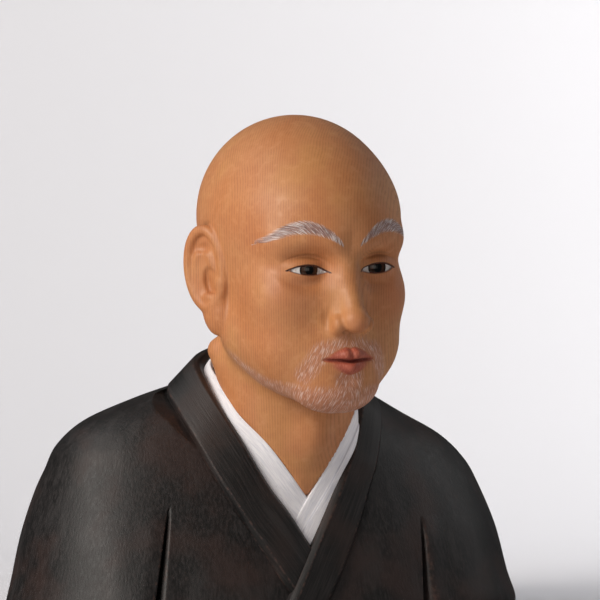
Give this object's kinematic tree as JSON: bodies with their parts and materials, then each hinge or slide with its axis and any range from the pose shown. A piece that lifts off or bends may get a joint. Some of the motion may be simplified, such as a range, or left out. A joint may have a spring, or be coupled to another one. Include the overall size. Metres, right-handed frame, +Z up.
{
  "type": "carved wooden monk bust",
  "caption": "Bust of a shaven-headed monk in a crossed-collar robe, carved in wood and painted, cut flat below the shoulders to stand on a shelf.",
  "frame": {"origin": "middle of the bounding box at the flat underside", "axes": "+Z up, the monk faces -Y, +X towards the monk's left shoulder"},
  "size_m": [0.2136, 0.1531, 0.2017],
  "materials": {
    "skin": "satin paint",
    "robe": "satin paint"
  },
  "bodies": {
    "root": {"head": "skin", "body": "robe"}
  },
  "joints": []
}
